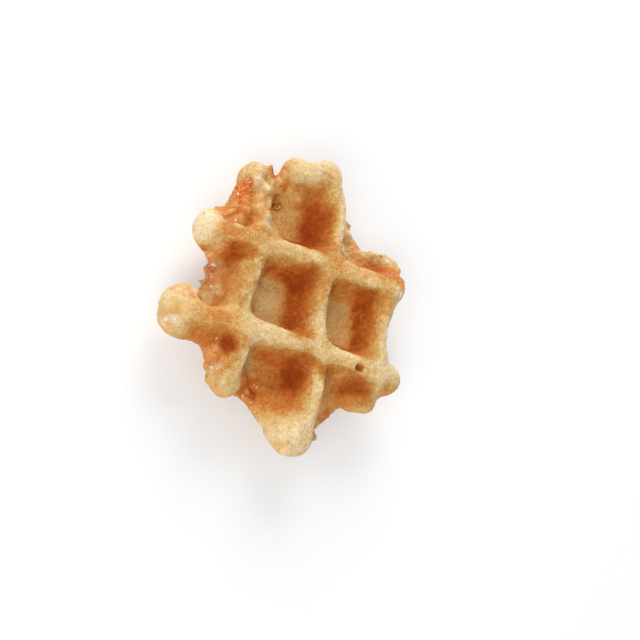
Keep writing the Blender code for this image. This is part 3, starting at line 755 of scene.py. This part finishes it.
def math_value(tree, operation, first, second=0.0, third=0.0, clamp=False):
    """The result of a math node; each of its inputs is a number or another node's output."""
    node = tree.nodes.new("ShaderNodeMath")
    node.operation = operation
    node.use_clamp = clamp
    for socket, given in zip(node.inputs, (first, second, third)):
        if isinstance(given, (int, float)):
            socket.default_value = given
        else:
            tree.links.new(given, socket)
    return node.outputs["Value"]


def centred(tree, value, swing):
    """A value from 0 to 1, turned into one that swings around 0."""
    return math_value(tree, "MULTIPLY_ADD", value, swing, -swing / 2)


def faded(tree, value, start, fade):
    """A strength that begins at the start and falls as the value rises, from 0 to 1."""
    return math_value(tree, "MULTIPLY_ADD", value, -fade, start, clamp=True)


def mixed(tree, factor, first, second):
    """One colour laid over another by a factor."""
    node = tree.nodes.new("ShaderNodeMix")
    node.data_type = "RGBA"
    for socket, given in ((node.inputs[0], factor), (node.inputs[6], first), (node.inputs[7], second)):
        if isinstance(given, tuple):
            socket.default_value = (*given, 1.0)
        else:
            tree.links.new(given, socket)
    return node.outputs[2]


def bump(tree, height, strength, depth, under=None):
    """A bumpy normal, with the depth in millimetres, over the one under it if there is one."""
    node = tree.nodes.new("ShaderNodeBump")
    node.inputs["Strength"].default_value = strength
    node.inputs["Distance"].default_value = depth * MM
    tree.links.new(height, node.inputs["Height"])
    if under is not None:
        tree.links.new(under, node.inputs["Normal"])
    return node.outputs["Normal"]


def new_material(name):
    """A material, its nodes and its main shader."""
    material = bpy.data.materials.new(name)
    material.use_nodes = True
    return material, material.node_tree, material.node_tree.nodes["Principled BSDF"]


def set_inner_light(shader, weight, radius, scale):
    """Light that runs under the skin, with the scale in millimetres."""
    shader.inputs["Subsurface Weight"].default_value = weight
    shader.inputs["Subsurface Radius"].default_value = radius
    shader.inputs["Subsurface Scale"].default_value = scale * MM


def bubble_shade_dots(tree):
    """Painted shade of tiny open bubbles, scattered: 1 in a dot."""
    place = tree.nodes.new("ShaderNodeTexCoord")
    cells = tree.nodes.new("ShaderNodeTexVoronoi")
    cells.inputs["Scale"].default_value = 1.0 / (DOT_SPACING * MM)
    tree.links.new(place.outputs["Object"], cells.inputs["Vector"])
    dot = math_value(tree, "SUBTRACT", DOT_RADIUS, cells.outputs["Distance"])
    dot = math_value(tree, "MULTIPLY", dot, DOT_SHARPNESS, clamp=True)
    parts = tree.nodes.new("ShaderNodeSeparateColor")
    tree.links.new(cells.outputs["Color"], parts.inputs["Color"])
    chosen = math_value(tree, "GREATER_THAN", parts.outputs["Red"], DOTS_LEFT_OUT)
    return math_value(tree, "MULTIPLY", dot, chosen)


def pale_specks(tree, bake_and_shade):
    """Specks of sugar and flour on pale crust: 1 in a speck."""
    spots = noise_value(tree, size=0.24, detail=1.0)
    lowest = -SPECKLE_CONTRAST * SPECKLE_START
    specks = math_value(tree, "MULTIPLY_ADD", spots, SPECKLE_CONTRAST, lowest, clamp=True)
    return math_value(tree, "MULTIPLY", specks, faded(tree, bake_and_shade, SPECKLE_ON_PALE, SPECKLE_FADE))


def baked_colour(tree, fine, middle):
    """The colour of the baked dough with its painted shade, crests, specks and torn crust among it."""
    baked = mask_value(tree, "bake_and_shade")
    softer = faded(tree, baked, GRAIN_ON_PALE, GRAIN_FADE)
    bake_and_shade = math_value(tree, "MULTIPLY_ADD", centred(tree, fine, FINE_SWING), softer, baked)
    bake_and_shade = math_value(tree, "ADD", bake_and_shade, centred(tree, middle, MIDDLE_SWING), clamp=True)
    crust = ramp(tree, "crust", bake_and_shade, CRUST_STOPS)
    crest = ramp(tree, "crest", bake_and_shade, CREST_STOPS)
    colour = mixed(tree, mask_value(tree, "raised"), crust, crest)
    colour = mixed(tree, pale_specks(tree, bake_and_shade), colour, SPECKLE_COLOUR)
    torn = math_value(tree, "MULTIPLY", mask_value(tree, "torn"), TORN_TINT, clamp=True)
    return mixed(tree, torn, colour, ramp(tree, "torn", bake_and_shade, TORN_STOPS))


def sugared_colour(tree, colour, caramel, middle):
    """The baked colour with golden hollows, caramel, frosted sugar and the painted shade of tiny bubbles
    over it.
    """
    colour = mixed(tree, mask_value(tree, "golden"), colour, GOLDEN_COLOUR)
    colour = mixed(tree, caramel, colour, ramp(tree, "melted sugar", middle, MELTED_STOPS))
    frosted = math_value(tree, "MULTIPLY", mask_value(tree, "frosted"), FROST_TINT, clamp=True)
    colour = mixed(tree, frosted, colour, FROST_COLOUR)
    return mixed(tree, bubble_shade_dots(tree), colour, BUBBLE_SHADE_COLOUR)


def crust_roughness(tree, caramel, fine):
    """Matt dough, glossier where sugar melted."""
    rough = math_value(tree, "MULTIPLY_ADD", caramel, -MELTED_SMOOTHER, DOUGH_ROUGHNESS)
    return math_value(tree, "MULTIPLY_ADD", fine, -GRAIN_SMOOTHER, rough)


def crust_material():
    """Browned dough with painted shade, and all that boiled out of it."""
    material, tree, shader = new_material("browned_and_shaded_crust")
    fine = noise_value(tree, size=0.42, detail=3.0, roughness=0.65)
    middle = noise_value(tree, size=1.1, detail=3.0, roughness=0.55)
    caramel = mask_value(tree, "caramel")
    colour = sugared_colour(tree, baked_colour(tree, fine, middle), caramel, middle)
    tree.links.new(colour, shader.inputs["Base Color"])
    tree.links.new(crust_roughness(tree, caramel, fine), shader.inputs["Roughness"])
    shader.inputs["Specular IOR Level"].default_value = 0.12
    set_inner_light(shader, weight=0.25, radius=CRUST_SCATTER, scale=0.35)
    grain = bump(tree, fine, strength=1.0, depth=0.42)
    grain = bump(tree, middle, strength=0.7, depth=0.50, under=grain)
    tree.links.new(grain, shader.inputs["Normal"])
    return material


def sugar_material():
    """Milky sugar, a little uneven."""
    material, tree, shader = new_material("pearl_sugar")
    fine = noise_value(tree, size=0.35)
    tree.links.new(ramp(tree, "sugar", fine, SUGAR_STOPS), shader.inputs["Base Color"])
    shader.inputs["Roughness"].default_value = 0.28
    set_inner_light(shader, weight=0.4, radius=SUGAR_SCATTER, scale=0.4)
    tree.links.new(bump(tree, fine, strength=0.4, depth=0.1), shader.inputs["Normal"])
    return material


def crumb_material():
    """Scraps of crust, from brown to golden."""
    material, tree, shader = new_material("torn_crumb")
    colour = ramp(tree, "crumb", noise_value(tree, size=1.0), CRUMB_STOPS)
    tree.links.new(colour, shader.inputs["Base Color"])
    shader.inputs["Roughness"].default_value = 0.5
    shader.inputs["Specular IOR Level"].default_value = 0.3
    set_inner_light(shader, weight=0.2, radius=CRUST_SCATTER, scale=0.4)
    grain = bump(tree, noise_value(tree, size=0.3), strength=0.5, depth=0.12)
    tree.links.new(grain, shader.inputs["Normal"])
    return material


def caramel_material():
    """Glossy amber."""
    material, tree, shader = new_material("caramel")
    colour = ramp(tree, "caramel", noise_value(tree, size=0.9), BEAD_STOPS)
    tree.links.new(colour, shader.inputs["Base Color"])
    shader.inputs["Roughness"].default_value = 0.12
    set_inner_light(shader, weight=0.2, radius=CARAMEL_SCATTER, scale=0.3)
    shader.inputs["Coat Weight"].default_value = 0.6
    shader.inputs["Coat Roughness"].default_value = 0.06
    return material


def make_crust():
    """The crust, which stands for the solid, and its masks."""
    solid = bpy.data.objects[NODE].data
    mesh = fine_copy()
    points = mesh_points(mesh)
    normals = mesh_normals(mesh)
    sky = spread(mesh_points(solid), open_sky(solid), points, SKY_SPREAD)
    masks = crust_masks(points, normals, sky)
    set_points(mesh, roughen(points, normals, masks))
    for name in ("bake_and_shade", "torn", "caramel", "frosted", "golden", "raised"):
        set_mask(mesh, name, masks[name])
    crust = new_object("crust", mesh, crust_material())
    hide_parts(NODE)
    return crust, masks


def seats(crust):
    """Where things can lie on the crust: the place and outward direction of every vertex, in metres."""
    return [(vertex.co.copy(), vertex.normal.copy()) for vertex in crust.data.vertices]


def add_piece(shape, seat, normal, size, draw, sink, squash):
    """An uneven ball of a size in millimetres, set on the crust and partly sunk in it."""
    turn = normal.to_track_quat("Z", "Y") @ Quaternion((0, 0, 1), draw.uniform(0, 2 * math.pi))
    stretch = Vector([draw.uniform(*limits) for limits in PIECE_STRETCH])
    stretch.z *= squash
    radius = size / 2 * MM
    ball = bmesh.ops.create_icosphere(shape, subdivisions=PIECE_ROUNDNESS, radius=1.0)["verts"]
    shift = Vector([draw.uniform(-PIECE_SHIFT, PIECE_SHIFT) for _ in range(3)])
    for vertex in ball:
        uneven = 1.0 + PIECE_UNEVEN * noise.noise(vertex.co * PIECE_WAVES + shift)
        local = Vector([c * s for c, s in zip(vertex.co * uneven, stretch)]) * radius
        local.z -= sink * radius
        vertex.co = seat + turn @ local
        vertex.co.z = max(vertex.co.z, 0.0)


def scatter(places, weights, count, sizes, sink, squash, seed):
    """Many pieces on the crust, thickest where the weights are large, as one mesh."""
    draw = random.Random(seed)
    shape = bmesh.new()
    for number in draw.choices(range(len(places)), weights=weights.tolist(), k=count):
        seat, normal = places[number]
        size = sizes[0] + (sizes[1] - sizes[0]) * draw.random() ** 2
        add_piece(shape, seat, normal, size, draw, sink, squash)
    return shape


def shape_to_mesh(shape, name):
    """A finished shape as a mesh."""
    mesh = bpy.data.meshes.new(name)
    shape.to_mesh(mesh)
    shape.free()
    return mesh


def make_sugar(crust, places, masks):
    """Pearls of sugar at their own places, and fine crystals where sugar boiled out of the dough."""
    pale_crest = masks["raised"] * (masks["bake_and_shade"] < PALE_CREST)
    weights = CREST_SUGAR * pale_crest + TORN_SUGAR * masks["torn"]
    weights = weights + FROSTED_SUGAR * masks["frosted"] + CARAMEL_SUGAR * masks["caramel"]
    shape = scatter(places, weights, *SUGAR_CRYSTALS, SEED)
    draw = random.Random(SEED + 1)
    surface = surface_of(crust.data)
    over_crust = 2 * CREST_HEIGHT
    for (x, y), size in PEARLS.values():
        seat, normal, _, _ = surface.ray_cast(Vector((x, y, over_crust)) * MM, Vector((0.0, 0.0, -1.0)))
        add_piece(shape, seat, normal, size, draw, PEARL_SINK, PEARL_SQUASH)
    return new_object("sugar_crystals", shape_to_mesh(shape, "sugar_crystals"), sugar_material())


def make_crumbs(places, masks):
    """Scraps of crust on the torn stretches, thickest along their rims."""
    rim = np.array([1.0 - LEVEL_CRUMBS_FEWER * abs(normal.z) for _, normal in places])
    shape = scatter(places, masks["torn"] ** 2 * rim, *TORN_CRUMBS, SEED + 2)
    return new_object("torn_crumbs", shape_to_mesh(shape, "torn_crumbs"), crumb_material())


def make_caramel(places, masks):
    """Beads of melted sugar, run together."""
    shape = scatter(places, masks["caramel"] ** 2, *CARAMEL_BEADS, SEED + 3)
    return new_object("caramel_beads", shape_to_mesh(shape, "caramel_beads"), caramel_material())


def make_floor():
    """A plain pale floor."""
    bpy.ops.mesh.primitive_plane_add(size=FLOOR_SIDE)
    floor = bpy.context.object
    floor.name = "floor"
    material, tree, shader = new_material("pale_floor")
    shader.inputs["Base Color"].default_value = (FLOOR_GREY, FLOOR_GREY, FLOOR_GREY, 1.0)
    shader.inputs["Emission Color"].default_value = (1.0, 1.0, 1.0, 1.0)
    shader.inputs["Emission Strength"].default_value = FLOOR_GLOW
    shader.inputs["Roughness"].default_value = 0.9
    shader.inputs["Specular IOR Level"].default_value = 0.0
    floor.data.materials.append(material)


def towards(azimuth, elevation):
    """The direction from the waffle to something at an azimuth and an elevation in degrees."""
    flat = math.cos(math.radians(elevation))
    return Vector((
        flat * math.cos(math.radians(azimuth)),
        flat * math.sin(math.radians(azimuth)),
        math.sin(math.radians(elevation)),
    ))


def add_light(name, azimuth, elevation, distance, side, power):
    """A soft square light that faces the waffle."""
    data = bpy.data.lights.new(name, "AREA")
    data.shape = "SQUARE"
    data.size = side
    data.energy = power
    light = bpy.data.objects.new(name, data)
    way = towards(azimuth, elevation)
    light.location = way * distance
    light.rotation_euler = way.to_track_quat("Z", "Y").to_euler()
    bpy.context.scene.collection.objects.link(light)


def make_lights():
    """Two soft lights and an even surround, shown with plain colours."""
    add_light("key", *KEY_LIGHT)
    add_light("fill", *FILL_LIGHT)
    world = bpy.data.worlds.new("studio")
    world.use_nodes = True
    surround = world.node_tree.nodes["Background"]
    surround.inputs["Color"].default_value = (1.0, 1.0, 1.0, 1.0)
    surround.inputs["Strength"].default_value = SURROUND_LIGHT
    bpy.context.scene.world = world
    bpy.context.scene.view_settings.view_transform = "Standard"


def make_camera():
    """The photo's camera."""
    data = bpy.data.cameras.new("camera")
    data.sensor_width = SENSOR_WIDTH
    seen_width = FRAME_PIXELS / PIXELS_PER_MM
    data.lens = SENSOR_WIDTH * CAMERA_DISTANCE / seen_width
    data.clip_start = 0.01
    camera = bpy.data.objects.new("camera", data)
    way = towards(CAMERA_AZIMUTH, CAMERA_ELEVATION)
    roll = Quaternion((0.0, 0.0, 1.0), math.radians(CAMERA_ROLL))
    turn = (way.to_track_quat("Z", "Y") @ roll).to_matrix().to_4x4()
    place = (Vector(CAMERA_AIM) + way * CAMERA_DISTANCE) * MM
    camera.matrix_world = Matrix.Translation(place) @ turn
    bpy.context.scene.collection.objects.link(camera)
    bpy.context.scene.camera = camera


def main():
    """Makes everything: the camera, the floor, the lights, the crust and the pieces on it."""
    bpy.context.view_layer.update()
    make_camera()
    make_floor()
    make_lights()
    crust, masks = make_crust()
    places = seats(crust)
    make_caramel(places, masks)
    make_crumbs(places, masks)
    make_sugar(crust, places, masks)


main()
